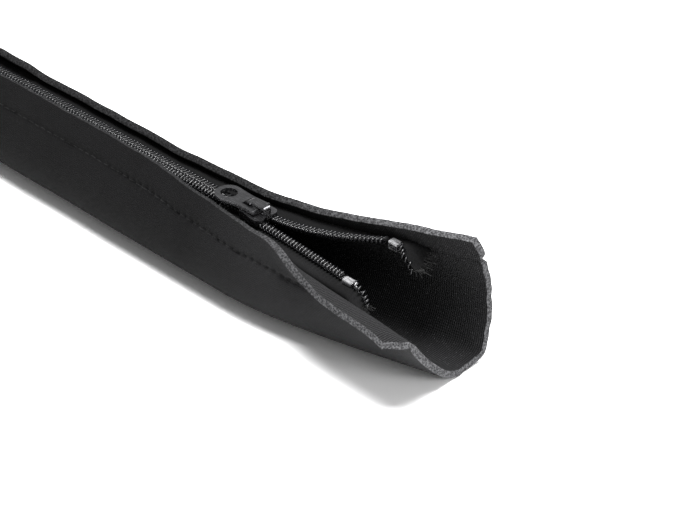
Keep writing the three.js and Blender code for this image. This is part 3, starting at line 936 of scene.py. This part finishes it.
FLOOR_REACH = 3000
LIT = (0.17, -0.005, 0.02)  # what the lights point at
# Name, place in metres, side of the square in metres and power in watts.
LIGHTS = (
    ("key", (0.2, -0.04, 1.0), 0.36, 22.0),
    ("glint", (0.2, 0.42, 0.6), 0.14, 5.0),
    ("side", (0.75, -0.02, 0.35), 0.2, 1.6),
)
# The photo's pixels: its middle, the chain at the slider, and the focal length at the photo's width.
PHOTO_MIDDLE = (350, 265)
CHAIN_PIXEL = (258, 219)
FOCAL_PIXELS = 2400
CHAIN_HEIGHT = 0.032


class SLEEVE_OT_stage(bpy.types.Operator):
    """Set up the floor, lights and camera"""

    bl_idname = "sleeve.stage"
    bl_label = "Set stage"

    def execute(self, context):
        corners = [(FLOOR_REACH * x, FLOOR_REACH * y, 0) for x, y in ((-1, -1), (1, -1), (1, 1), (-1, 1))]
        floor = make_mesh("floor", corners, [(0, 1, 2, 3)])
        floor.location.z = -0.0002
        material, tree, shader = nodes_of("paper")
        shader.inputs["Base Color"].default_value = (0.97, 0.97, 0.97, 1)
        shader.inputs["Roughness"].default_value = 0.95
        shader.inputs["Specular IOR Level"].default_value = 0.0
        dress(floor, material)
        world = bpy.context.scene.world or bpy.data.worlds.new("white")
        bpy.context.scene.world = world
        world.use_nodes = True
        light_world(world.node_tree)
        for name, place, size, power in LIGHTS:
            data = bpy.data.lights.new(name, "AREA")
            data.shape = "RECTANGLE"
            data.size, data.size_y = size, size
            data.energy = power
            lamp = bpy.data.objects.new(name, data)
            lamp.location = place
            lamp.rotation_euler = (Vector(LIT) - Vector(place)).to_track_quat("-Z", "Y").to_euler()
            bpy.context.scene.collection.objects.link(lamp)
        place_camera(get("sleeve_stage_settings"))
        bpy.context.scene.view_settings.view_transform = "Standard"
        return {"FINISHED"}


def light_world(tree):
    """White to the camera, softer light on matt surfaces, and darker in reflections."""
    back = tree.nodes["Background"]
    back.inputs["Color"].default_value = (1, 1, 1, 1)
    path = add_node(tree, "ShaderNodeLightPath")
    seen = remap(tree, path.outputs["Is Camera Ray"], 0.0, 1.0, 0.46, 1.0)
    shiny = remap(tree, path.outputs["Is Glossy Ray"], 0.0, 1.0, 1.0, 0.6)
    tree.links.new(calculate(tree, "MULTIPLY", seen, shiny), back.inputs["Strength"])


def place_camera(settings):
    """Camera at the photo's angle, with the chain by the slider left of and above the middle."""
    at = places()
    a, e = settings.azimuth, settings.elevation
    look = Vector((-math.sin(a) * math.cos(e), math.cos(a) * math.cos(e), -math.sin(e)))
    right = look.cross(Vector((0, 0, 1))).normalized()
    up = right.cross(look)
    focus = Vector((at["slider"] * MM, at["chain"] * MM, CHAIN_HEIGHT))
    across = (CHAIN_PIXEL[0] - PHOTO_MIDDLE[0]) / FOCAL_PIXELS
    above = (PHOTO_MIDDLE[1] - CHAIN_PIXEL[1]) / FOCAL_PIXELS
    aim = look + right * across + up * above
    data = bpy.data.cameras.new("camera")
    data.lens = settings.lens
    data.sensor_width = 36
    data.clip_start, data.clip_end = 0.01, 20
    camera = bpy.data.objects.new("camera", data)
    turn = Matrix((right, up, -look)).transposed()
    camera.matrix_world = Matrix.Translation(focus - aim * settings.distance) @ turn.to_4x4()
    bpy.context.scene.collection.objects.link(camera)
    bpy.context.scene.camera = camera


class SLEEVE_PT_panel(bpy.types.Panel):
    bl_idname = "SLEEVE_PT_panel"
    bl_label = "Zippered sleeve"
    bl_space_type = "VIEW_3D"
    bl_region_type = "UI"
    bl_category = "Sleeve"

    def draw(self, context):
        for group in ("sleeve_sheet_settings", "sleeve_metal_settings", "sleeve_stage_settings"):
            settings = getattr(context.scene, group)
            for key in settings.__annotations__:
                self.layout.prop(settings, key)
        for operator in OPERATORS:
            self.layout.operator(operator.bl_idname)


GROUPS = (SheetSettings, MetalSettings, StageSettings)
OPERATORS = (SLEEVE_OT_sheet, SLEEVE_OT_tapes, SLEEVE_OT_coils, SLEEVE_OT_metal, SLEEVE_OT_stage)
CLASSES = (*GROUPS, *OPERATORS, SLEEVE_PT_panel)


def register():
    for item in CLASSES:
        bpy.utils.register_class(item)
    for name, group in zip(("sheet", "metal", "stage"), GROUPS):
        setattr(bpy.types.Scene, f"sleeve_{name}_settings", bpy.props.PointerProperty(type=group))


def unregister():
    for name in ("sheet", "metal", "stage"):
        delattr(bpy.types.Scene, f"sleeve_{name}_settings")
    for item in reversed(CLASSES):
        bpy.utils.unregister_class(item)


def main():
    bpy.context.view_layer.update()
    register()
    sleeve = bpy.ops.sleeve
    for step in (sleeve.sheet, sleeve.tapes, sleeve.coils, sleeve.metal, sleeve.stage):
        if step() != {"FINISHED"}:
            raise RuntimeError("a build step did not finish")


if __name__ == "__main__":
    main()
